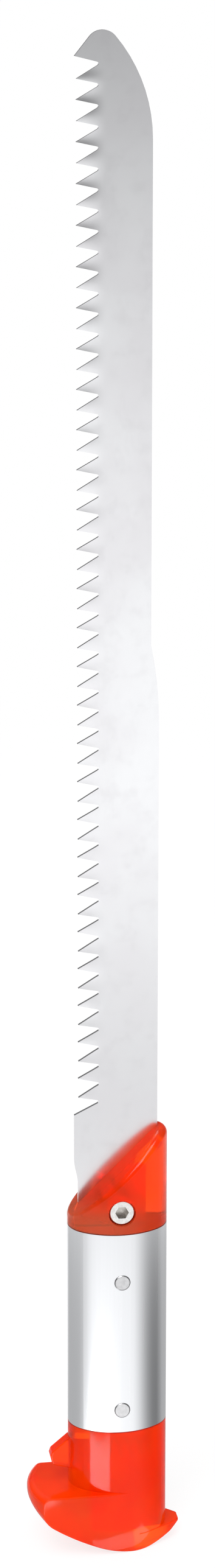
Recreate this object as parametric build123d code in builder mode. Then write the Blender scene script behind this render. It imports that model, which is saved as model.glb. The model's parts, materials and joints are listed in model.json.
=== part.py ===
"""Snow saw whose oval handle plugs into a hollow shovel shaft, with the blade stowed inside.

Millimetres. The origin is on the handle's long axis, level with the shelf that the shaft's
end seats on. +Z runs up the blade, -X is the toothed side, +X the spine and -Y the front.
"""
import os
from math import acos, asin, atan2, cos, degrees, hypot, radians, sin, tan

from build123d import *

os.makedirs("parts", exist_ok=True)

# ---- Driving dimensions -------------------------------------------------------------------
# Handle tube: an oval alloy tube between the two plastic mouldings
tube_width = 33.6
tube_depth = 25.4
tube_wall = 1.5
oval_flattening = 2.1          # the oval's rounded ends have this much less radius than half its depth
tube_bottom_z = 22.55
tube_length = 71.3
plug_clearance = 0.08          # between the tube's bore and each moulding's plug
plug_chamfer = 0.8

# Cross rivets that lock the plugs in the tube
rivet_diameter = 5.3
rivet_clearance = 0.06
rivet_rise = 0.25              # each end stands proud of the tube by this much, with a bevel
upper_rivet_inset = 16.95      # from the tube's top end
lower_rivet_inset = 8.05       # from the tube's bottom end

# Blade
blade_thickness = 1.2
tooth_count = 54
tooth_pitch = 6.35
tooth_depth = 6.9
tooth_set = 0.45               # sideways lean of each tip, alternately front and back
set_height = 5.4               # the set bends this much of each tooth
rake_angle = 12.0
gullet_radius = 0.6
tooth_inset = 3.8              # tooth tips inside the handle's toothed side
heel_inset = 2.4               # heel inside the handle's toothed side
spine_inset = 3.3              # spine inside the handle's other side, over the blade's inner half
spine_step = 2.6               # the spine steps in by this much for the outer half
step_rise = 134.0              # from the heel up to where the spine starts to step in
step_radius = 120.0
heel_rise = 5.1                # from the socket's top up to the heel's corner, below the last gullet
heel_length = 17.4
heel_runout = 5.6              # height of the jog from the heel back to the tang's edge
heel_runout_radius = 12.0
nose_drop = 24.9               # from the first tip down to where the nose curve starts
nose_radius = 47.8
nose_sweep = 48.3
nose_tip_radius = 5.2
first_tip_lead = 0.5           # the first tooth, under the nose, reaches past the others
first_tip_rise = 0.4

# Tang, inside the blade socket
tang_left_inset = 3.6          # inside the handle's toothed side
tang_right_inset = 8.6         # inside the handle's other side
tang_neck_width = 17.6
tang_neck_rise = 1.0           # the tang narrows to its neck from here above the screw's axis
tang_neck_taper = 5.0
shoulder_drop = 6.8            # the shoulder lies this far under the socket's mouth, along Z
tang_length = 24.0             # below the tube's top end
tang_corner = 3.0
tang_fit = 0.06                # between the tang and its slot, on every side

# Blade socket: plastic moulding with a mouth slanted at 45 degrees
mouth_low_rise = 3.95          # height of the mouth's low side above the tube's end
mouth_crown = 1.7              # the mouth's fall to the front and back, over the tube's half width
mouth_flat = 4.0               # level top left on the spine side
mouth_blend = 5.0              # between the slanted mouth and the flat top
mouth_edge_radius = 2.0
socket_plug_length = 27.0

# Clamp screw: M5 socket head cap screw, and its nut on the far side
screw_height = 7.65            # axis above the tube's top end
screw_diameter = 5.0
screw_head_diameter = 8.5
screw_head_height = 5.0
screw_head_chamfer = 0.35
screw_head_recess = 1.1        # head's face below the socket's front
screw_socket_flats = 4.0
screw_socket_depth = 2.6
nut_recess = 3.3               # nut's face and screw's tip below the socket's back
screw_tip_chamfer = 0.5
screw_clearance = 0.15
head_clearance = 0.3
nut_flats = 8.0
nut_height = 4.0
nut_clearance = 0.1            # between the nut and its pocket
thread_clearance = 0.02        # between the nut's bore and the screw, both drawn plain

# End cap: body, and a foot with a shelf on the toothed side and a lip on the spine side
cap_plug_length = 17.0
foot_bulge = 1.2               # the foot's sides stand out past the handle's front and back
foot_shoulder_x = -6.0         # from here the foot's sides run in to the handle's oval
foot_shoulder_radius = 25.0
shelf_overhang = 14.0          # past the handle's toothed side
shelf_end_radius = 27.0        # the shelf's end, seen from above
shelf_rim_radius = 2.5         # from the shelf's top into its end wall
shelf_heel_radius = 6.0        # from the end wall into the underside
foot_edge_radius = 0.6
lip_overhang = 4.3             # past the handle's other side
lip_end_width = 4.4
lip_flare_angle = 45.0         # the lip widens from its end at this angle, then runs to the oval
lip_flare_length = 4.5
lip_flare_radius = 6.0
lip_corner_radius = 1.0
lip_edge_radius = 0.4
lip_top_z = -16.25
rocker_low_x = 5.3             # lowest point of the rocker-shaped underside
rocker_low_z = -22.6
rocker_low_radius = 29.0
rocker_low_sweep = 18.0
rocker_shelf_radius = 80.0     # flatter, towards the shelf's end
lip_end_height = 1.1           # of the rocker's end below the lip's top
rocker_sweep = 45.0            # each arc runs on past the foot's end
cavity_wall = 2.6
cavity_latch_wall = 6.8
cavity_floor_z = -15.2

# Latch button on the toothed side, with its return spring
latch_width = 4.8
latch_bottom_z = 5.3
latch_top_z = 16.5
latch_catch_setback = 0.8
latch_catch_rise = 1.5         # the catch's underside rises this much towards its tip
latch_crest_share = 0.42       # of the latch's height, up to where it reaches furthest
latch_ramp_setback = 0.55
latch_ramp_share = 0.56        # of the latch's height, up to the foot of its ramp
latch_edge_radius = 0.5
latch_travel = 6.4             # pressing it in brings its nose flush with the handle's side
latch_fit = 0.15               # between the button and its window
flange_thickness = 2.0
flange_overlap = 1.6           # the flange is wider than the window by this much all round
flange_gap = 0.02
spring_diameter = 7.4
spring_wire = 0.8
spring_turns = 5
spring_boss_diameter = 4.6
spring_boss_length = 2.6
spring_seat_width = 8.4
spring_seat_inset = 6.3        # the seat's face, inside the handle's other side
spring_gap = 0.05              # between each end of the spring and what it bears on

# ---- Worked-out places --------------------------------------------------------------------
half_width = tube_width / 2
half_depth = tube_depth / 2
half_blade = blade_thickness / 2
plug_inset = tube_wall + plug_clearance
tube_top_z = tube_bottom_z + tube_length
upper_rivet_z = tube_top_z - upper_rivet_inset
lower_rivet_z = tube_bottom_z + lower_rivet_inset
screw_z = tube_top_z + screw_height
mouth_z = tube_top_z + mouth_low_rise + half_width
socket_height = mouth_low_rise + tube_width - mouth_flat
socket_top_z = tube_top_z + socket_height
tooth_line_x = -half_width + tooth_inset
heel_x = -half_width + heel_inset
wide_spine_x = half_width - spine_inset
spine_x = wide_spine_x - spine_step
tang_left_x = -half_width + tang_left_inset
tang_right_x = half_width - tang_right_inset
tang_neck_x = tang_left_x + tang_neck_width
heel_z = socket_top_z + heel_rise
step_bottom_z = heel_z + step_rise
foot_half_depth = half_depth + foot_bulge
shelf_reach = half_width + shelf_overhang
lip_reach = half_width + lip_overhang
rocker_lip_run = lip_reach - rocker_low_x
rocker_lip_rise = lip_top_z - lip_end_height - rocker_low_z
rocker_lip_radius = (rocker_lip_run ** 2 + rocker_lip_rise ** 2) / (2 * rocker_lip_rise)
cavity_left_x = -half_width + cavity_latch_wall
spring_seat_x = half_width - spring_seat_inset
latch_height = latch_top_z - latch_bottom_z
latch_mid_z = latch_bottom_z + latch_height / 2
latch_crest_z = latch_bottom_z + latch_crest_share * latch_height
latch_ramp_z = latch_bottom_z + latch_ramp_share * latch_height
latch_reach = half_width + latch_travel
flange_face_x = cavity_left_x + flange_gap
spring_left_x = flange_face_x + flange_thickness
through = 2 * tube_width       # longer than any piece is thick
above = tube_length            # tall enough to clear the end of a cut
same = 0.01                    # two corners this close count as one


# The oval is four arcs that meet without a corner: a small one at each end, a large one along
# each face. A smaller oval inside it keeps the same centres, so the wall between is even.
end_radius = half_depth - oval_flattening
end_centre_x = half_width - end_radius
face_radius = (end_centre_x ** 2 + half_depth ** 2 - end_radius ** 2) / (2 * oval_flattening)
join_cosine = end_centre_x / (face_radius - end_radius)
join_sine = (1 - join_cosine ** 2) ** 0.5


def oval(inset, z):
    """The handle's oval, drawn in by inset all round, across the axis at height z."""
    join_x = end_centre_x + (end_radius - inset) * join_cosine
    join_y = (end_radius - inset) * join_sine
    reach_x = half_width - inset
    reach_y = half_depth - inset
    with BuildSketch(Plane.XY.offset(z)) as face:
        with BuildLine():
            ThreePointArc((-join_x, join_y), (0, reach_y), (join_x, join_y))
            ThreePointArc((join_x, join_y), (reach_x, 0), (join_x, -join_y))
            ThreePointArc((join_x, -join_y), (0, -reach_y), (-join_x, -join_y))
            ThreePointArc((-join_x, -join_y), (-reach_x, 0), (-join_x, join_y))
        make_face()
    return face.sketch


# ---- Saw blade ----------------------------------------------------------------------------
# A gullet's two straight sides would meet at a sharp root, which the gullet radius rounds off.
# The root lies deeper than the gullet by what the rounding fills.
rake_slope = tan(radians(rake_angle))
first_tip_z = heel_z + tooth_count * tooth_pitch


def back_slope(root_depth):
    """Slope of a tooth's long back edge, from its tip up to the root above it."""
    return tooth_pitch / root_depth - rake_slope


def rounding(root_depth):
    """How far a gullet of this sharp depth is filled by its rounded root."""
    back_angle = degrees(asin(back_slope(root_depth) / (1 + back_slope(root_depth) ** 2) ** 0.5))
    half_angle = radians((rake_angle + back_angle) / 2)
    return gullet_radius * (1 / sin(half_angle) - 1)


root_depth = tooth_depth
for _ in range(20):
    root_depth = tooth_depth + rounding(root_depth)

root_x = tooth_line_x + root_depth
bend_x = tooth_line_x + set_height
back_rise = set_height * back_slope(root_depth)
rake_fall = set_height * rake_slope


def tip_z(index):
    return first_tip_z - index * tooth_pitch


# The flat part of the blade ends at the bend line, where the set teeth start. The first
# tooth, below the nose, and the heel aren't set, so they belong to the flat part.
tooth_line = [(tooth_line_x - first_tip_lead, tip_z(0) + first_tip_rise)]
for index in range(tooth_count):
    if index > 0:
        tooth_line.append((bend_x, tip_z(index) + back_rise))
        tooth_line.append((bend_x, tip_z(index) - rake_fall))
    tooth_line.append((root_x, tip_z(index) - root_depth * rake_slope))

nose_start = (spine_x, first_tip_z - nose_drop)
step_angle = degrees(asin(((wide_spine_x - spine_x) * (2 * step_radius - wide_spine_x + spine_x))
                          ** 0.5 / step_radius))
shoulder_z = mouth_z - shoulder_drop      # on the axis; the shoulder runs parallel to the mouth
tang_bottom_z = tube_top_z - tang_length
tang_edge = [
    (heel_x, heel_z),
    (heel_x, heel_z - heel_length),
    (tang_left_x, heel_z - heel_length - heel_runout),
    (tang_left_x, tang_bottom_z),
    (tang_right_x, tang_bottom_z),
    (tang_right_x, screw_z + tang_neck_rise),
    (tang_neck_x, screw_z + tang_neck_rise + tang_neck_taper),
    (tang_neck_x, shoulder_z + tang_neck_x),
    (wide_spine_x, shoulder_z + wide_spine_x),
    (wide_spine_x, step_bottom_z),
]

with BuildPart() as saw_blade:
    with BuildSketch(Plane.XZ) as outline:
        with BuildLine():
            Polyline(*tooth_line, *tang_edge)
            step = JernArc(tang_edge[-1], (0, 1), step_radius, step_angle)
            Line(step @ 1, nose_start)
            nose = JernArc(nose_start, (0, 1), nose_radius, nose_sweep)
            Line(nose @ 1, tooth_line[0])
        make_face()
        roots = [v for v in outline.vertices() if abs(v.X - root_x) < same]
        fillet(roots, gullet_radius)
        fillet(outline.vertices().sort_by(Axis.Y)[-1], nose_tip_radius)
        fillet(outline.vertices().group_by(Axis.Y)[0], tang_corner)
        jog = [v for v in outline.vertices()
               if same < heel_z - v.Y < heel_length + heel_runout + same and v.X < bend_x]
        fillet(jog, heel_runout_radius)
    extrude(amount=half_blade, both=True)
    for height, diameter in ((screw_z, screw_diameter + 2 * screw_clearance),
                             (upper_rivet_z, rivet_diameter + 2 * rivet_clearance)):
        with BuildSketch(Plane.XZ) as hole:
            with Locations((0, height)):
                Circle(diameter / 2)
        extrude(amount=through, both=True, mode=Mode.SUBTRACT)

lean = tooth_set / set_height
for side, first_index in ((-1, 1), (1, 2)):
    with BuildPart() as set_teeth:
        with BuildSketch(Plane.XZ):
            for index in range(first_index, tooth_count, 2):
                with BuildLine():
                    Polyline((tooth_line_x, tip_z(index)),
                             (bend_x, tip_z(index) - rake_fall),
                             (bend_x, tip_z(index) + back_rise),
                             close=True)
                make_face()
        extrude(amount=through, both=True)
        with BuildSketch(Plane.XY) as leaning_strip:
            with BuildLine():
                Polyline((bend_x, -half_blade),
                         (tooth_line_x - 1, -half_blade + side * lean * (set_height + 1)),
                         (tooth_line_x - 1, half_blade + side * lean * (set_height + 1)),
                         (bend_x, half_blade),
                         close=True)
            make_face()
        extrude(amount=first_tip_z + tooth_pitch, mode=Mode.INTERSECT)
    with saw_blade:
        add(set_teeth.part)
saw_blade.part.label = "saw_blade"
export_step(saw_blade.part, "parts/saw_blade.step")


# ---- Blade socket -------------------------------------------------------------------------
def on_wall(edge):
    """True for an edge that runs round the handle's oval wall."""
    middle = edge.position_at(0.5)
    along = end_centre_x + end_radius * join_cosine
    if abs(middle.X) > along:
        off_wall = hypot(abs(middle.X) - end_centre_x, middle.Y) - end_radius
    else:
        off_wall = hypot(middle.X, abs(middle.Y) + face_radius - half_depth) - face_radius
    return abs(off_wall) < same and edge.geom_type != GeomType.LINE


mouth_plane = Plane(origin=(0, 0, mouth_z), x_dir=(0, 1, 0), z_dir=(1, 0, 1))
slot_left = tang_left_x - tang_fit
slot_right = tang_right_x + tang_fit
slot_wide = wide_spine_x + tang_fit
slot_shoulder = shoulder_z - 2 * tang_fit
head_seat_y = -half_depth + screw_head_recess + screw_head_height
nut_seat_y = half_depth - nut_recess - nut_height
screw_length = nut_seat_y + nut_height - head_seat_y

with BuildPart() as blade_socket:
    add(oval(0, tube_top_z))
    extrude(amount=socket_height)
    with BuildSketch(mouth_plane):
        with BuildLine():
            ThreePointArc((-half_width, -mouth_crown), (0, 0), (half_width, -mouth_crown))
            Polyline((half_width, -mouth_crown), (half_width, above),
                     (-half_width, above), (-half_width, -mouth_crown))
        make_face()
    extrude(amount=above, both=True, mode=Mode.SUBTRACT)
    crest = blade_socket.faces().sort_by(Axis.Z)[-1].edges().sort_by(Axis.X)[0]
    fillet(crest, mouth_blend)
    rim = [e for e in blade_socket.edges() if on_wall(e) and e.center().Z > tube_top_z + 1]
    fillet(rim, mouth_edge_radius)
    add(oval(plug_inset, tube_top_z))
    extrude(amount=-socket_plug_length)
    plug_end = blade_socket.faces().sort_by(Axis.Z)[0]
    chamfer(plug_end.edges(), plug_chamfer)
    with BuildSketch(Plane.XZ):
        with BuildLine():
            Polyline((slot_left, tang_bottom_z - tang_fit), (slot_right, tang_bottom_z - tang_fit),
                     (slot_right, slot_shoulder + slot_right), (slot_wide, slot_shoulder + slot_wide),
                     (slot_wide, socket_top_z + 1), (slot_left, socket_top_z + 1), close=True)
        make_face()
    extrude(amount=half_blade + tang_fit, both=True, mode=Mode.SUBTRACT)
    with BuildSketch(Plane.XZ):
        with Locations((0, screw_z)):
            Circle(screw_diameter / 2 + screw_clearance)
        with Locations((0, upper_rivet_z)):
            Circle(rivet_diameter / 2 + rivet_clearance)
    extrude(amount=through, both=True, mode=Mode.SUBTRACT)
    with BuildSketch(Plane.XZ.offset(-head_seat_y)):
        with Locations((0, screw_z)):
            Circle(screw_head_diameter / 2 + head_clearance)
    extrude(amount=through, mode=Mode.SUBTRACT)
    with BuildSketch(Plane.XZ.offset(-nut_seat_y)):
        with Locations((0, screw_z)):
            RegularPolygon(nut_flats / 2 + nut_clearance, 6, major_radius=False)
    extrude(amount=-through, mode=Mode.SUBTRACT)
blade_socket.part.label = "blade_socket"
export_step(blade_socket.part, "parts/blade_socket.step")


# ---- Clamp screw and nut ------------------------------------------------------------------
with BuildPart() as clamp_screw:
    with BuildSketch(Plane.XZ.offset(-head_seat_y)):
        with Locations((0, screw_z)):
            Circle(screw_head_diameter / 2)
    extrude(amount=screw_head_height)
    front = clamp_screw.faces().sort_by(Axis.Y)[0]
    chamfer(front.edges(), screw_head_chamfer)
    with BuildSketch(Plane.XZ.offset(-head_seat_y)):
        with Locations((0, screw_z)):
            Circle(screw_diameter / 2)
    extrude(amount=-screw_length)
    tip = clamp_screw.faces().sort_by(Axis.Y)[-1]
    chamfer(tip.edges(), screw_tip_chamfer)
    with BuildSketch(Plane.XZ.offset(screw_head_height - head_seat_y)):
        with Locations((0, screw_z)):
            RegularPolygon(screw_socket_flats / 2, 6, major_radius=False)
    extrude(amount=-screw_socket_depth, mode=Mode.SUBTRACT)
clamp_screw.part.label = "clamp_screw"
export_step(clamp_screw.part, "parts/clamp_screw.step")

with BuildPart() as clamp_nut:
    with BuildSketch(Plane.XZ.offset(-nut_seat_y)):
        with Locations((0, screw_z)):
            RegularPolygon(nut_flats / 2, 6, major_radius=False)
            Circle(screw_diameter / 2 + thread_clearance, mode=Mode.SUBTRACT)
    extrude(amount=-nut_height)
clamp_nut.part.label = "clamp_nut"
export_step(clamp_nut.part, "parts/clamp_nut.step")


# ---- Handle tube --------------------------------------------------------------------------
with BuildPart() as handle_tube:
    add(oval(0, tube_bottom_z))
    extrude(amount=tube_length)
    add(oval(tube_wall, tube_bottom_z))
    extrude(amount=tube_length, mode=Mode.SUBTRACT)
    with BuildSketch(Plane.XZ):
        with Locations((0, upper_rivet_z), (0, lower_rivet_z)):
            Circle(rivet_diameter / 2 + rivet_clearance)
    extrude(amount=through, both=True, mode=Mode.SUBTRACT)
handle_tube.part.label = "handle_tube"
export_step(handle_tube.part, "parts/handle_tube.step")


# ---- Cross rivets -------------------------------------------------------------------------
for name, height in (("upper_rivet", upper_rivet_z), ("lower_rivet", lower_rivet_z)):
    with BuildPart() as rivet:
        with BuildSketch(Plane.XZ):
            with Locations((0, height)):
                Circle(rivet_diameter / 2)
        extrude(amount=half_depth + rivet_rise, both=True)
        ends = rivet.edges().filter_by(GeomType.CIRCLE)
        chamfer(ends, rivet_rise)
    rivet.part.label = name
    export_step(rivet.part, f"parts/{name}.step")


# ---- End cap ------------------------------------------------------------------------------
foot_bottom_z = rocker_low_z - 1
shelf_arc_x = -shelf_reach + shelf_end_radius
shelf_corner_x = shelf_arc_x - (shelf_end_radius ** 2 - foot_half_depth ** 2) ** 0.5
lip_flare_x = lip_reach - lip_flare_length * cos(radians(lip_flare_angle))
lip_flare_y = lip_end_width / 2 + lip_flare_length * sin(radians(lip_flare_angle))


def touch(x, y, side):
    """Where a line from (x, y) touches the arc along the oval's back face."""
    rise = y + face_radius - half_depth
    angle = atan2(rise, x) + side * acos(face_radius / hypot(x, rise))
    return face_radius * cos(angle), face_radius * sin(angle) + half_depth - face_radius


shelf_touch_x, shelf_touch_y = touch(foot_shoulder_x, foot_half_depth, -1)
lip_touch_x, lip_touch_y = touch(lip_flare_x, lip_flare_y, 1)
touch_middle_x = (shelf_touch_x + lip_touch_x) / 2
touch_middle_y = half_depth - face_radius + (face_radius ** 2 - touch_middle_x ** 2) ** 0.5
window_half = latch_width / 2 + latch_fit

with BuildPart() as end_cap:
    with BuildSketch(Plane.XY.offset(foot_bottom_z)) as foot_plan:
        with BuildLine():
            ThreePointArc((shelf_corner_x, foot_half_depth), (-shelf_reach, 0),
                          (shelf_corner_x, -foot_half_depth))
            for side in (-1, 1):
                Polyline((shelf_corner_x, side * foot_half_depth),
                         (foot_shoulder_x, side * foot_half_depth),
                         (shelf_touch_x, side * shelf_touch_y))
                ThreePointArc((shelf_touch_x, side * shelf_touch_y),
                              (touch_middle_x, side * touch_middle_y),
                              (lip_touch_x, side * lip_touch_y))
                Polyline((lip_touch_x, side * lip_touch_y), (lip_flare_x, side * lip_flare_y),
                         (lip_reach, side * lip_end_width / 2))
            Line((lip_reach, -lip_end_width / 2), (lip_reach, lip_end_width / 2))
        make_face()
        for corner_x, radius in ((foot_shoulder_x, foot_shoulder_radius),
                                 (lip_flare_x, lip_flare_radius), (lip_reach, lip_corner_radius)):
            fillet([v for v in foot_plan.vertices() if abs(v.X - corner_x) < same], radius)
    extrude(amount=-foot_bottom_z)
    with Locations((end_centre_x + through / 2, 0, lip_top_z + above / 2)):
        Box(through, through, above, mode=Mode.SUBTRACT)
    with BuildSketch(Plane.XZ):
        with BuildLine():
            low = JernArc((rocker_low_x, rocker_low_z), (-1, 0), rocker_low_radius,
                          -rocker_low_sweep)
            left = JernArc(low @ 1, low % 1, rocker_shelf_radius, -rocker_sweep)
            right = JernArc((rocker_low_x, rocker_low_z), (1, 0), rocker_lip_radius, rocker_sweep)
            Polyline(left @ 1, (-through, above), (through, above), right @ 1)
        make_face()
    extrude(amount=through, both=True, mode=Mode.INTERSECT)
    for end, radius in ((0, shelf_heel_radius), (-1, shelf_rim_radius)):
        shelf_end = [e for e in end_cap.edges() if e.center().X < shelf_corner_x - same]
        fillet(ShapeList(shelf_end).sort_by(Axis.Z)[end], radius)
    # The sides' rims are all edges but those along Y, and of the upright ones only the corners
    rims = [e for e in end_cap.edges() if abs(e.tangent_at(0.5).Y) < 0.9
            and (abs(e.tangent_at(0.5).Z) < 0.9 or abs(e.center().X - shelf_corner_x) < same)]
    lip_rims = [e for e in rims if abs(e.center().Z - lip_top_z) < same]
    fillet([e for e in rims if e not in lip_rims], foot_edge_radius)
    fillet([e for e in end_cap.edges() if abs(e.center().Z - lip_top_z) < same
            and abs(e.tangent_at(0.5).Y) < 0.9], lip_edge_radius)
    with BuildSketch(Plane.XY.offset(lip_top_z)):
        add(oval(0, lip_top_z))
        with Locations((through / 2, 0)):
            Rectangle(through, through, mode=Mode.INTERSECT)
    extrude(amount=-lip_top_z)
    add(oval(0, 0))
    extrude(amount=tube_bottom_z)
    add(oval(plug_inset, tube_bottom_z))
    extrude(amount=cap_plug_length)
    chamfer(end_cap.faces().sort_by(Axis.Z)[-1].edges(), plug_chamfer)
    with BuildSketch(Plane.XY.offset(cavity_floor_z)):
        add(oval(cavity_wall, cavity_floor_z))
        with Locations((cavity_left_x + through / 2, 0)):
            Rectangle(through, through, mode=Mode.INTERSECT)
        with Locations((spring_seat_x + through / 2, 0)):
            Rectangle(through, spring_seat_width, mode=Mode.SUBTRACT)
    extrude(amount=above, mode=Mode.SUBTRACT)
    with BuildSketch(Plane.YZ):
        with Locations((0, latch_mid_z)):
            Rectangle(2 * window_half, latch_height + 2 * latch_fit)
    extrude(amount=-through, mode=Mode.SUBTRACT)
    with BuildSketch(Plane.YZ.offset(spring_seat_x)):
        with Locations((0, latch_mid_z)):
            Circle(spring_boss_diameter / 2)
    extrude(amount=-spring_boss_length)
    with BuildSketch(Plane.XZ):
        with Locations((0, lower_rivet_z)):
            Circle(rivet_diameter / 2 + rivet_clearance)
    extrude(amount=through, both=True, mode=Mode.SUBTRACT)
end_cap.part.label = "end_cap"
export_step(end_cap.part, "parts/end_cap.step")


# ---- Latch button and its spring ----------------------------------------------------------
with BuildPart() as latch_button:
    with BuildSketch(Plane.XZ):
        with BuildLine():
            Polyline((flange_face_x, latch_bottom_z),
                     (-half_width, latch_bottom_z),
                     (latch_catch_setback - latch_reach, latch_bottom_z + latch_catch_rise),
                     (-latch_reach, latch_crest_z),
                     (latch_ramp_setback - latch_reach, latch_ramp_z),
                     (-half_width, latch_top_z),
                     (flange_face_x, latch_top_z),
                     close=True)
        make_face()
    extrude(amount=latch_width / 2, both=True)
    outer = [e for e in latch_button.edges() if e.center().X < -half_width - same]
    fillet(outer, latch_edge_radius)
    with BuildSketch(Plane.YZ.offset(flange_face_x)):
        with Locations((0, latch_mid_z)):
            Rectangle(latch_width + 2 * flange_overlap, latch_height + 2 * flange_overlap)
    extrude(amount=flange_thickness)
    with BuildSketch(Plane.YZ.offset(spring_left_x)):
        with Locations((0, latch_mid_z)):
            Circle(spring_boss_diameter / 2)
    extrude(amount=spring_boss_length)
latch_button.part.label = "latch_button"
export_step(latch_button.part, "parts/latch_button.step")

coil_radius = (spring_diameter - spring_wire) / 2
coil_start_x = spring_left_x + spring_gap + spring_wire / 2
coil_length = spring_seat_x - spring_gap - spring_wire / 2 - coil_start_x
with BuildPart() as latch_spring:
    with BuildLine():
        coil = Helix(coil_length / spring_turns, coil_length, coil_radius,
                     center=(coil_start_x, 0, latch_mid_z), direction=(1, 0, 0))
    with BuildSketch(Plane(origin=coil @ 0, z_dir=coil % 0)):
        Circle(spring_wire / 2)
    sweep(path=coil, is_frenet=True)
latch_spring.part.label = "latch_spring"
export_step(latch_spring.part, "parts/latch_spring.step")
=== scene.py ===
"""The looks of a stowable snow saw: satin blade, clear-tinted mouldings, anodised tube."""
import json
from math import pi, radians

import bmesh
import bpy
from bpy.props import FloatProperty, FloatVectorProperty, IntProperty, PointerProperty
from mathutils import Euler, Matrix, Vector


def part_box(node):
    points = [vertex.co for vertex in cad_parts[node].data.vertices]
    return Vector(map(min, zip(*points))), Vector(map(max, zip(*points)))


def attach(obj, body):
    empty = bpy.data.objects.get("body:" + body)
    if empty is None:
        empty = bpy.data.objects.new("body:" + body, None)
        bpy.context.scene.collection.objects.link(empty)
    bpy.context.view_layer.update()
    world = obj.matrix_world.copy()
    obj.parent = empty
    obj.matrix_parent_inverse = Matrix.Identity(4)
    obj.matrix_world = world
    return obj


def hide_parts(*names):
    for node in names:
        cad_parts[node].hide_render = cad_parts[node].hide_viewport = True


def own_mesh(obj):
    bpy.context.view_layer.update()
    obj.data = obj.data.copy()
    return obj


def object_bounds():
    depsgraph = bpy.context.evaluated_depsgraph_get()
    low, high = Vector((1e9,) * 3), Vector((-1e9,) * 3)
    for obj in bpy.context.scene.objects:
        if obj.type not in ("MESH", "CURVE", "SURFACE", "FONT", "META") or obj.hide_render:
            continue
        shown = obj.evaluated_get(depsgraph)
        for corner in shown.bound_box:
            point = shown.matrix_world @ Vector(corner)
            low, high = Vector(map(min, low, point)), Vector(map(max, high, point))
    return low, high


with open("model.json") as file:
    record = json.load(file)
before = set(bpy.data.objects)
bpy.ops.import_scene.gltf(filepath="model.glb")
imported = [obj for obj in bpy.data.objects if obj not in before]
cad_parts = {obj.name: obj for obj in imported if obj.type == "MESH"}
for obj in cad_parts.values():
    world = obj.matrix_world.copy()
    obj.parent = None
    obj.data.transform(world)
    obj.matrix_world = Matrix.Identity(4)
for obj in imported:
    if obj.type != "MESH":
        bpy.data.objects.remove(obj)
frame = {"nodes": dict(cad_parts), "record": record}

bl_info = {
    "name": "Snow Saw Looks",
    "version": (1, 0, 0),
    "blender": (4, 5, 0),
    "location": "3D View > Sidebar > Snow Saw",
    "description": "Finishes the snow saw's blade, mouldings, tube and fasteners, and its studio",
    "category": "Object",
}

CAD_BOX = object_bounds()


# ---- Shader recipes -----------------------------------------------------------------------
class Value:
    """A shader socket that takes part in Python arithmetic: each sum adds its Math node."""

    def __init__(self, recipe, socket):
        self.recipe = recipe
        self.socket = socket

    def maths(self, operation, *values):
        return self.recipe.node("ShaderNodeMath", dict(enumerate(values)), operation=operation)

    def __add__(self, other):
        return self.maths("ADD", self, other)

    __radd__ = __add__

    def __sub__(self, other):
        return self.maths("SUBTRACT", self, other)

    def __rsub__(self, other):
        return self.maths("SUBTRACT", other, self)

    def __mul__(self, other):
        return self.maths("MULTIPLY", self, other)

    __rmul__ = __mul__

    def __truediv__(self, other):
        return self.maths("DIVIDE", self, other)

    def either(self, other):
        """The larger of the two, which joins two masks."""
        return self.maths("MAXIMUM", self, other)

    def nearer(self, other):
        """The smaller of the two."""
        return self.maths("MINIMUM", self, other)

    def size(self):
        return self.maths("ABSOLUTE", self)

    def wave(self):
        """Its sine, with the value in radians."""
        return self.maths("SINE", self)

    def ramp(self, low, high, start=0.0, end=1.0):
        """Goes smoothly from start to end as the value goes from low to high."""
        inputs = {"Value": self, "From Min": low, "From Max": high, "To Min": start, "To Max": end}
        return self.recipe.node("ShaderNodeMapRange", inputs, interpolation_type="SMOOTHSTEP")


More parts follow.
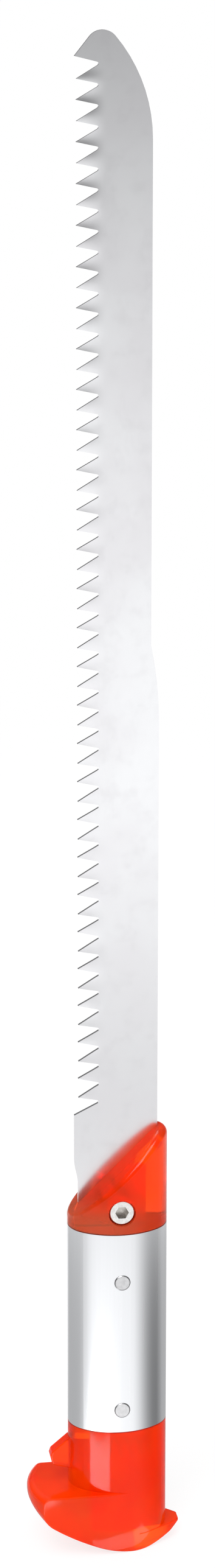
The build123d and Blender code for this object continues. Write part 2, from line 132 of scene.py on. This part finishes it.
class Recipe:
    """One material and the nodes that make it."""

    def __init__(self, name, owner=None):
        self.material = owner or bpy.data.materials.new(name)
        self.material.use_nodes = True
        self.tree = self.material.node_tree
        self.tree.nodes.clear()

    def node(self, kind, inputs=None, output=0, **settings):
        """Adds a node: its settings first, then the values or links of its sockets."""
        made = self.tree.nodes.new(kind)
        for name, value in settings.items():
            setattr(made, name, value)
        for name, value in (inputs or {}).items():
            if isinstance(value, Value):
                self.tree.links.new(value.socket, made.inputs[name])
            else:
                made.inputs[name].default_value = value
        return Value(self, made.outputs[output])

    def place(self):
        """The point on the piece, in metres."""
        return self.node("ShaderNodeTexCoord", output="Object")

    def along(self, point, axis):
        """One coordinate of a point or a direction."""
        return self.node("ShaderNodeSeparateXYZ", {"Vector": point}, output=axis)

    def from_axis(self, point, x, z):
        """Distance from an axis that runs front to back."""
        inputs = {0: point, 1: (1.0, 0.0, 1.0)}
        flat = self.node("ShaderNodeVectorMath", inputs, operation="MULTIPLY")
        inputs = {0: flat, 1: (x, 0.0, z)}
        return self.node("ShaderNodeVectorMath", inputs, output="Value", operation="DISTANCE")

    def stretched(self, point, scale):
        return self.node("ShaderNodeMapping", {"Vector": point, "Scale": scale})

    def noise(self, point, scale, detail=2.0, roughness=0.5):
        inputs = {"Vector": point, "Scale": scale, "Detail": detail, "Roughness": roughness}
        return self.node("ShaderNodeTexNoise", inputs)

    def rays(self):
        """Masks of the rays that the camera sends, that gloss mirrors and that pass through."""
        return [self.node("ShaderNodeLightPath", output=name)
                for name in ("Is Camera Ray", "Is Glossy Ray", "Is Transmission Ray")]

    def mix(self, factor, first, second):
        """A colour between two colours."""
        made = self.tree.nodes.new("ShaderNodeMix")
        made.data_type = "RGBA"
        for index, value in ((0, factor), (6, first), (7, second)):
            if isinstance(value, Value):
                self.tree.links.new(value.socket, made.inputs[index])
            else:
                made.inputs[index].default_value = value if index == 0 else (*value, 1.0)
        return Value(self, made.outputs[2])

    def bump(self, height, distance, normal=None):
        """Raises the surface by height times distance, on top of another bump if one is given."""
        inputs = {"Height": height, "Distance": distance, "Strength": 1.0}
        if normal:
            inputs["Normal"] = normal
        return self.node("ShaderNodeBump", inputs)

    def finish(self, shader):
        """Joins the shader to the output, and gives the finished material or world."""
        kind = "World" if isinstance(self.material, bpy.types.World) else "Material"
        output = self.tree.nodes.new(f"ShaderNodeOutput{kind}")
        self.tree.links.new(shader.socket, output.inputs["Surface"])
        return self.material


def axis_of(node):
    """Where a node's axis, square to the handle, crosses the saw's middle plane."""
    low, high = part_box(node)
    return (low[0] + high[0]) / 2, (low[2] + high[2]) / 2


def dress(material, *nodes):
    """Gives CAD nodes a material."""
    for name in nodes:
        slots = frame["nodes"][name].data.materials
        slots.clear()
        slots.append(material)


# ---- Settings -----------------------------------------------------------------------------
class BladeSettings(bpy.types.PropertyGroup):
    """Finish of the steel blade."""

    steel: FloatVectorProperty(
        name="Steel", description="Colour of the ground steel", subtype="COLOR",
        default=(0.74, 0.745, 0.76), min=0.0, max=1.0)
    roughness: FloatProperty(
        name="Roughness", description="Roughness of the satin face", default=0.20, min=0.0, max=1.0)
    grain_width: FloatProperty(
        name="Grain Width", description="Width of the grinding marks", subtype="DISTANCE",
        default=0.0003, min=0.0)
    tooth_pitch: FloatProperty(
        name="Tooth Pitch", description="From one tooth's tip to the next", subtype="DISTANCE",
        default=0.00635, min=0.001)
    heel_height: FloatProperty(
        name="Heel Height", description="Height at which the row of teeth starts",
        subtype="DISTANCE", default=0.1325)
    set_runout: FloatProperty(
        name="Set Run-out", description="Height of the soft bend behind each set tooth",
        subtype="DISTANCE", default=0.00014, min=0.0)


class MouldingSettings(bpy.types.PropertyGroup):
    """Finish of the clear-tinted plastic mouldings."""

    tint: FloatVectorProperty(
        name="Tint", description="Colour of the clear plastic", subtype="COLOR",
        default=(1.0, 0.062, 0.0005), min=0.0, max=1.0)
    # Painted shade: a brownish veil that stands in for the steel seen through the plastic, not a
    # colour of the plastic itself.
    shade: FloatVectorProperty(
        name="Shade", description="Colour of the plastic where steel lies behind it",
        subtype="COLOR", default=(0.85, 0.165, 0.06), min=0.0, max=1.0)
    # Painted shade: the dark line where the plastic meets the tube is shade between the parts,
    # painted into the plastic's colour.
    joint: FloatVectorProperty(
        name="Joint", description="Colour of the line where plastic meets the tube",
        subtype="COLOR", default=(0.22, 0.006, 0.004), min=0.0, max=1.0)
    clearness: FloatProperty(
        name="Clearness", description="Share of light that passes through", default=0.67,
        min=0.0, max=1.0)


class MetalSettings(bpy.types.PropertyGroup):
    """Finish of the tube, the rivets, the screw and its nut."""

    tube: FloatVectorProperty(
        name="Tube", description="Colour of the anodised tube", subtype="COLOR",
        default=(0.78, 0.79, 0.81), min=0.0, max=1.0)
    tube_roughness: FloatProperty(
        name="Tube Roughness", description="Roughness of the anodised tube", default=0.28,
        min=0.0, max=1.0)
    rivet: FloatVectorProperty(
        name="Rivets", description="Colour of the rivet ends", subtype="COLOR",
        default=(0.62, 0.62, 0.63), min=0.0, max=1.0)
    screw: FloatVectorProperty(
        name="Screw", description="Colour of the screw and nut", subtype="COLOR",
        default=(0.80, 0.79, 0.77), min=0.0, max=1.0)


class SpringSettings(bpy.types.PropertyGroup):
    """Winding and finish of the latch's return spring."""

    wire: FloatProperty(
        name="Wire", description="Diameter of the spring's wire", subtype="DISTANCE",
        default=0.0008, min=0.0001)
    turns: IntProperty(
        name="Turns", description="Turns of wire in the spring", default=5, min=1)
    steel: FloatVectorProperty(
        name="Steel", description="Colour of the drawn wire", subtype="COLOR",
        default=(0.80, 0.79, 0.77), min=0.0, max=1.0)


class StageSettings(bpy.types.PropertyGroup):
    """Camera, floor and lamps."""

    lens: FloatProperty(
        name="Lens", description="Focal length on a 36 mm tall film", default=76.86, min=1.0)
    camera_place: FloatVectorProperty(
        name="Camera", description="Place of the camera", subtype="XYZ", unit="LENGTH",
        default=(-0.1571, -1.0300, 0.5331))
    camera_tilt: FloatProperty(
        name="Tilt", description="How far the camera looks down", subtype="ANGLE",
        default=radians(15.424))
    camera_turn: FloatProperty(
        name="Turn", description="Turn of the camera about the saw, towards the spine",
        subtype="ANGLE", default=radians(8.5))
    floor_size: FloatProperty(
        name="Floor", description="Width of the floor", subtype="DISTANCE", default=60.0, min=1.0)
    near_light: FloatProperty(
        name="Near Light", description="Brightness of the floor close by, as the metal mirrors it",
        default=1.25, min=0.0)
    middle_light: FloatProperty(
        name="Middle Light", description="Brightness of the floor at a hand's length",
        default=0.95, min=0.0)
    pool_light: FloatProperty(
        name="Pool Light", description="Brightness of the floor an arm's length away",
        default=1.38, min=0.0)
    card_light: FloatProperty(
        name="Card Light", description="Brightness of the cards that the mouldings mirror",
        default=11.0, min=0.0)
    fade: FloatProperty(
        name="Fade", description="How fast the pool of light fades out past an arm's length",
        default=0.14, min=0.0)


GROUPS = {
    "blade": BladeSettings,
    "moulding": MouldingSettings,
    "metal": MetalSettings,
    "spring": SpringSettings,
    "stage": StageSettings,
}


def settings(group):
    """The scene's values for one group."""
    return getattr(bpy.context.scene, f"snow_saw_{group}")


# ---- Pieces -------------------------------------------------------------------------------
# The soft bend behind the set teeth: where it is strongest and where it has run out, across the
# blade, then where it starts and stops up the row, counted in teeth from the heel.
BEND_ACROSS = (-0.0120, -0.0030)
BEND_STARTS = (0.2, 1.2)
BEND_STOPS = (52.6, 53.6)
BEND_OFFSET = 0.3
GRAIN_HEIGHT = 0.0000012


class FinishBlade(bpy.types.Operator):
    """Gives the blade its satin ground steel"""

    bl_idname = "snow_saw.finish_blade"
    bl_label = "Finish Blade"

    def execute(self, context):
        look = settings("blade")
        recipe = Recipe("satin_blade_steel")
        point = recipe.place()
        cloud = recipe.noise(point, 26.0, detail=3.0)
        mottle = recipe.noise(point, 150.0, detail=4.0, roughness=0.6)
        grain_scale = (1.0 / look.grain_width, 1.0, 0.05 / look.grain_width)
        grain = recipe.noise(recipe.stretched(point, grain_scale), 1.0, detail=2.0)
        steel = tuple(look.steel)
        worn = tuple(c * f for c, f in zip(steel, (0.978, 0.965, 0.972)))
        base = recipe.mix(cloud.ramp(0.35, 0.65), steel, worn)
        base = recipe.mix(mottle.ramp(0.45, 0.75) * 0.35, base, tuple(c * 0.9 for c in worn))
        rough = cloud.ramp(0.3, 0.7, look.roughness - 0.02, look.roughness + 0.03)
        rough = rough + (grain - 0.5) * 0.04 + (mottle - 0.5) * 0.04
        runout = recipe.bump(self.set_runout(recipe, point, look), look.set_runout)
        shader = recipe.node("ShaderNodeBsdfPrincipled", {
            "Base Color": base,
            "Metallic": 1.0,
            "Roughness": rough,
            "Normal": recipe.bump(grain, GRAIN_HEIGHT, normal=runout),
        })
        dress(recipe.finish(shader), "saw_blade")
        return {"FINISHED"}

    def set_runout(self, recipe, point, look):
        """The soft bend behind each set tooth: one to the front, the next to the back."""
        up = (recipe.along(point, "Z") - look.heel_height) / look.tooth_pitch
        swing = ((up + BEND_OFFSET) * pi).wave()
        bend = recipe.along(point, "X").ramp(*BEND_ACROSS, 1.0, 0.0)
        bend = bend * up.ramp(*BEND_STARTS) * up.ramp(*BEND_STOPS, 1.0, 0.0)
        facing = recipe.node("ShaderNodeNewGeometry", output="True Normal")
        return swing * bend * recipe.along(facing, "Y")


JOINT_SHADE_EDGE = (0.0001, 0.0006)    # the painted shade where the plastic meets the tube fades out over this distance from each tube end
PLASTIC_IOR = 1.25


class FinishMouldings(bpy.types.Operator):
    """Gives the socket, end cap and latch their clear-tinted plastic"""

    bl_idname = "snow_saw.finish_mouldings"
    bl_label = "Finish Mouldings"

    def execute(self, context):
        look = settings("moulding")
        recipe = Recipe("clear_red_plastic")
        point = recipe.place()
        height = recipe.along(point, "Z")
        ripple = recipe.noise(point, 60.0, detail=2.0)
        speckle = recipe.noise(point, 900.0, detail=2.0)
        tube_low, tube_high = (corner[2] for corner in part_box("handle_tube"))
        # Painted shade: a thin dark line on the plastic at each end of the tube, where shade falls
        # between the parts.
        joints = [(height - end).size().ramp(*JOINT_SHADE_EDGE, 1.0, 0.0)
                  for end in (tube_low, tube_high)]
        joint = joints[0].either(joints[1])
        # Painted shade: just above the tube, mostly on its left, the plastic goes brownish to stand
        # in for the steel seen through it.
        above_tube = height - tube_high
        painted_steel_shade = above_tube.ramp(0.003, 0.013, 1.0, 0.0) * above_tube.ramp(-0.001, 0.0)
        painted_steel_shade = painted_steel_shade * recipe.along(point, "X").ramp(-0.008, 0.014, 1.0, 0.2)
        tint = tuple(look.tint)
        deeper = tuple(c * f for c, f in zip(tint, (0.97, 0.78, 0.8)))
        base = recipe.mix(ripple.ramp(0.35, 0.65), tint, deeper)
        base = recipe.mix(painted_steel_shade * 0.8, base, tuple(look.shade))
        base = recipe.mix(joint * 0.85, base, tuple(look.joint))
        rough = speckle.ramp(0.4, 0.75, 0.09, 0.16)
        shader = recipe.node("ShaderNodeBsdfPrincipled", {
            "Base Color": base,
            "Roughness": rough,
            "IOR": PLASTIC_IOR,
            "Transmission Weight": look.clearness,
            "Normal": recipe.bump(ripple, 0.00012),
        })
        dress(recipe.finish(shader), "blade_socket", "end_cap", "latch_button")
        return {"FINISHED"}


class FinishTube(bpy.types.Operator):
    """Gives the handle tube its satin anodised skin"""

    bl_idname = "snow_saw.finish_tube"
    bl_label = "Finish Tube"

    def execute(self, context):
        look = settings("metal")
        recipe = Recipe("satin_anodised_alloy")
        point = recipe.place()
        streaks = recipe.noise(recipe.stretched(point, (900.0, 900.0, 14.0)), 1.0, detail=2.0)
        tube = tuple(look.tube)
        base = recipe.mix(streaks.ramp(0.3, 0.7), tube, tuple(c * 0.985 for c in tube))
        rough = look.tube_roughness + (streaks - 0.5) * 0.03
        shader = recipe.node("ShaderNodeBsdfPrincipled", {
            "Base Color": base,
            "Metallic": 1.0,
            "Roughness": rough,
        })
        dress(recipe.finish(shader), "handle_tube")
        return {"FINISHED"}


RIVET_RIM = (0.00215, 0.0025)    # distances from the axis over which the rim darkens


class FinishRivets(bpy.types.Operator):
    """Gives both cross rivets their dull alloy ends"""

    bl_idname = "snow_saw.finish_rivets"
    bl_label = "Finish Rivets"

    def execute(self, context):
        look = settings("metal")
        recipe = Recipe("dull_rivet_alloy")
        point = recipe.place()
        dents = recipe.noise(point, 900.0, detail=3.0)
        rivet = tuple(look.rivet)
        base = recipe.mix(dents.ramp(0.35, 0.65), rivet, tuple(c * 0.9 for c in rivet))
        upper, lower = (recipe.from_axis(point, *axis_of(name))
                        for name in ("upper_rivet", "lower_rivet"))
        rim = upper.nearer(lower).ramp(*RIVET_RIM)
        base = recipe.mix(rim * 0.75, base, tuple(c * 0.3 for c in rivet))
        shader = recipe.node("ShaderNodeBsdfPrincipled", {
            "Base Color": base,
            "Metallic": 1.0,
            "Roughness": dents.ramp(0.3, 0.7, 0.34, 0.5),
            "Normal": recipe.bump(dents, 0.00004),
        })
        dress(recipe.finish(shader), "upper_rivet", "lower_rivet")
        return {"FINISHED"}


class FinishScrew(bpy.types.Operator):
    """Gives the clamp screw and its nut their bright steel"""

    bl_idname = "snow_saw.finish_screw"
    bl_label = "Finish Screw"

    def execute(self, context):
        look = settings("metal")
        recipe = Recipe("bright_screw_steel")
        point = recipe.place()
        marks = recipe.noise(point, 1500.0, detail=3.0)
        screw = tuple(look.screw)
        base = recipe.mix(marks.ramp(0.35, 0.7), screw, tuple(c * 0.85 for c in screw))
        off_axis = recipe.from_axis(point, *axis_of("clamp_screw"))
        depth = recipe.along(point, "Y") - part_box("clamp_screw")[0][1]
        recess = depth.ramp(0.0003, 0.0008) * off_axis.ramp(0.0030, 0.0033, 1.0, 0.0)
        recess = recess * depth.ramp(0.006, 0.007, 1.0, 0.0)
        shadowed = tuple(c * f for c, f in zip(screw, (0.5, 0.46, 0.42)))
        base = recipe.mix(recess * 0.7, base, shadowed)
        shader = recipe.node("ShaderNodeBsdfPrincipled", {
            "Base Color": base,
            "Metallic": 1.0,
            "Roughness": marks.ramp(0.3, 0.7, 0.22, 0.32),
            "Normal": recipe.bump(marks, 0.000015),
        })
        dress(recipe.finish(shader), "clamp_screw", "clamp_nut")
        return {"FINISHED"}


SPRING_STEPS = 24    # for each turn of wire
WIRE_SIDES = 12


class WindLatchSpring(bpy.types.Operator):
    """Winds the latch's return spring"""

    bl_idname = "snow_saw.wind_latch_spring"
    bl_label = "Wind Latch Spring"

    def execute(self, context):
        look = settings("spring")
        low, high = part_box("latch_spring")
        length = high[0] - low[0]
        steps = look.turns * SPRING_STEPS
        radius = (high[1] - low[1] - look.wire) / 2
        axis = Vector((low[0], (low[1] + high[1]) / 2, (low[2] + high[2]) / 2))
        start = axis + Vector((look.wire / 2, 0.0, radius))
        stand = Matrix.Translation(start) @ Matrix.Rotation(pi / 2, 4, "X")
        shape = bmesh.new()
        bmesh.ops.create_circle(
            shape, cap_ends=True, segments=WIRE_SIDES, radius=look.wire / 2, matrix=stand)
        bmesh.ops.spin(
            shape, geom=shape.verts[:] + shape.edges[:] + shape.faces[:], cent=axis,
            axis=(1.0, 0.0, 0.0), dvec=((length - look.wire) / steps, 0.0, 0.0),
            angle=2 * pi * look.turns, steps=steps, use_duplicate=False)
        bmesh.ops.recalc_face_normals(shape, faces=shape.faces)
        for face in shape.faces:
            face.smooth = True
        mesh = bpy.data.meshes.new("return_spring")
        shape.to_mesh(mesh)
        shape.free()
        spring = bpy.data.objects.new("return_spring", mesh)
        context.collection.objects.link(spring)

        recipe = Recipe("drawn_spring_wire")
        drawn = recipe.noise(recipe.place(), 1500.0, detail=3.0)
        steel = tuple(look.steel)
        shader = recipe.node("ShaderNodeBsdfPrincipled", {
            "Base Color": recipe.mix(drawn.ramp(0.35, 0.7), steel, tuple(c * 0.85 for c in steel)),
            "Metallic": 1.0,
            "Roughness": drawn.ramp(0.3, 0.7, 0.22, 0.32),
        })
        mesh.materials.append(recipe.finish(shader))

        travel = next(joint["range_m"][1] for joint in frame["record"]["behaviour"]["joints"]
                      if joint["name"] == "latch_press")
        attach(spring, "saw")
        1.0 - travel / length
        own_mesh(spring)
        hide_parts("latch_spring")
        return {"FINISHED"}


# ---- Stage --------------------------------------------------------------------------------
# Corners of the cards on the floor, in front of the foot, whose reflections make the long soft
# highlight on the end cap and the short one at the foot's lower edge.
CAP_CARD = ((-0.0156, -0.0548), (-0.0269, -0.0973), (-0.0804, -0.0634), (-0.0455, -0.0366))
FOOT_CARD = ((-0.009, -0.015), (-0.009, -0.0245), (0.02, -0.0235), (0.02, -0.015))
CARD_LIFT = 0.0005
# Distances across the floor from the saw at which its mirrored brightness changes.
NEAR, HAND, ARM = 0.26, 0.36, 0.95


class SetStage(bpy.types.Operator):
    """Adds the camera, the pale floor and the soft lamps"""

    bl_idname = "snow_saw.set_stage"
    bl_label = "Set Stage"

    def add_camera(self, context, look):
        data = bpy.data.cameras.new("studio_camera")
        data.sensor_fit = "VERTICAL"
        data.sensor_height = 36.0
        data.lens = look.lens
        camera = bpy.data.objects.new("studio_camera", data)
        camera.location = look.camera_place
        camera.rotation_euler = Euler((radians(90) - look.camera_tilt, 0.0, -look.camera_turn))
        context.collection.objects.link(camera)
        context.scene.camera = camera

    def floor_material(self, look):
        """A pale matt floor. Where the background shows, it is white but for the saw's shadow.

        What the metal mirrors is a pool of light in front, which fades out across the floor.
        """
        recipe = Recipe("pale_floor")
        seen, mirrored_by, passing = recipe.rays()
        point = recipe.place()
        far = recipe.node("ShaderNodeVectorMath", {0: point}, output="Value", operation="LENGTH")
        side = recipe.along(point, "X") / far
        depth = recipe.along(point, "Y") / far
        behind = depth.ramp(-0.3, 0.35)
        in_front = side.ramp(0.45, 0.97, 1.0, 0.14) * side.ramp(-0.98, -0.74, 0.42, 1.0)
        in_back = depth.ramp(0.85, 0.97, 0.42, 1.0)
        near = (in_front * (1.0 - behind) + behind * in_back) * look.near_light
        pool = far.ramp(HAND, ARM, look.middle_light, look.pool_light)
        pool = pool / (1.0 + (far - ARM).either(0.0) * look.fade)
        spread = far.ramp(NEAR, HAND)
        mirrored = spread * pool + (1.0 - spread) * near
        glow = 1.0 + mirrored_by * (mirrored - 1.0)
        matt = recipe.node("ShaderNodeBsdfDiffuse", {"Color": (0.8, 0.8, 0.8, 1.0)})
        white = recipe.node("ShaderNodeEmission", {"Color": glow, "Strength": 1.0})
        share = (seen * far.ramp(0.3, 1.2, 0.8, 1.0)).either(mirrored_by).either(passing * 0.9)
        return recipe.finish(recipe.node("ShaderNodeMixShader", {0: share, 1: matt, 2: white}))

    def add_floor(self, context, look):
        bpy.ops.mesh.primitive_plane_add(size=look.floor_size)
        floor = context.object
        floor.name = "floor"
        floor.data.transform(Matrix.Translation((0, 0, CAD_BOX[0][2])))
        floor.data.materials.append(self.floor_material(look))

    def add_lamp(self, context, name, place, target, size, power, mirrored=False):
        data = bpy.data.lights.new(name, "AREA")
        data.shape = "RECTANGLE"
        data.size, data.size_y = size
        data.energy = power
        lamp = bpy.data.objects.new(name, data)
        lamp.location = place
        lamp.rotation_euler = (Vector(target) - Vector(place)).to_track_quat("-Z", "Y").to_euler()
        lamp.visible_camera = False
        lamp.visible_glossy = mirrored
        context.collection.objects.link(lamp)

    def add_card(self, context, name, strength, corners):
        """A bright card just above the floor, which shows only where the mouldings mirror it."""
        recipe = Recipe(name)
        recipe.finish(recipe.node("ShaderNodeEmission", {
            "Color": (1.0, 1.0, 1.0, 1.0), "Strength": strength}))
        shape = bmesh.new()
        height = CAD_BOX[0][2] + CARD_LIFT
        shape.faces.new([shape.verts.new((x, y, height)) for x, y in corners])
        mesh = bpy.data.meshes.new(name)
        shape.to_mesh(mesh)
        shape.free()
        mesh.materials.append(recipe.material)
        card = bpy.data.objects.new(name, mesh)
        card.visible_camera = False
        card.visible_diffuse = False
        card.visible_transmission = False
        card.visible_shadow = False
        context.collection.objects.link(card)

    def add_world(self, context):
        """Soft light from all round, white where it is seen and dim where gloss mirrors it."""
        world = bpy.data.worlds.new("studio_world")
        world.use_nodes = True
        recipe = Recipe("studio_world", world)
        camera, mirrored_by, passing = recipe.rays()
        seen = camera.either(passing)
        upward = recipe.along(recipe.node("ShaderNodeTexCoord", output="Generated"), "Z")
        glow = 0.55 + seen * 0.45 - mirrored_by * upward.ramp(0.3, 0.8, 0.34, 0.0)
        recipe.finish(recipe.node("ShaderNodeBackground", {"Color": glow, "Strength": 1.0}))
        context.scene.world = world

    def execute(self, context):
        look = settings("stage")
        middle = (0.0, 0.0, (CAD_BOX[0][2] + CAD_BOX[1][2]) / 2)
        self.add_camera(context, look)
        self.add_floor(context, look)
        self.add_world(context)
        self.add_lamp(context, "front_softbox", (-0.6, -1.1, 1.6), middle, (1.1, 1.1), 36.0,
                      mirrored=True)
        self.add_lamp(context, "side_softbox", (1.4, -0.5, 0.8), middle, (0.8, 1.2), 14.0)
        self.add_lamp(context, "back_softbox", (-0.5, 1.3, 1.0), middle, (1.2, 1.2), 14.0)
        self.add_card(context, "cap_card", look.card_light, CAP_CARD)
        self.add_card(context, "foot_card", look.card_light * 0.5, FOOT_CARD)
        context.scene.view_settings.view_transform = "Standard"
        return {"FINISHED"}


class SnowSawPanel(bpy.types.Panel):
    """Lists the saw's finishes and its stage"""

    bl_idname = "VIEW3D_PT_snow_saw"
    bl_label = "Snow Saw"
    bl_space_type = "VIEW_3D"
    bl_region_type = "UI"
    bl_category = "Snow Saw"

    def draw(self, context):
        for group, kind in GROUPS.items():
            box = self.layout.box()
            for name in kind.__annotations__:
                box.prop(settings(group), name)
        for operator in OPERATORS:
            self.layout.operator(operator.bl_idname)


OPERATORS = (FinishBlade, FinishMouldings, FinishTube, FinishRivets, FinishScrew,
             WindLatchSpring, SetStage)
CLASSES = (*GROUPS.values(), *OPERATORS, SnowSawPanel)


def register():
    for kind in CLASSES:
        bpy.utils.register_class(kind)
    for group, kind in GROUPS.items():
        setattr(bpy.types.Scene, f"snow_saw_{group}", PointerProperty(type=kind))


def unregister():
    for group in GROUPS:
        delattr(bpy.types.Scene, f"snow_saw_{group}")
    for kind in reversed(CLASSES):
        bpy.utils.unregister_class(kind)


def main():
    register()
    for operator in OPERATORS:
        family, name = operator.bl_idname.split(".")
        getattr(getattr(bpy.ops, family), name)()


if __name__ == "__main__":
    main()
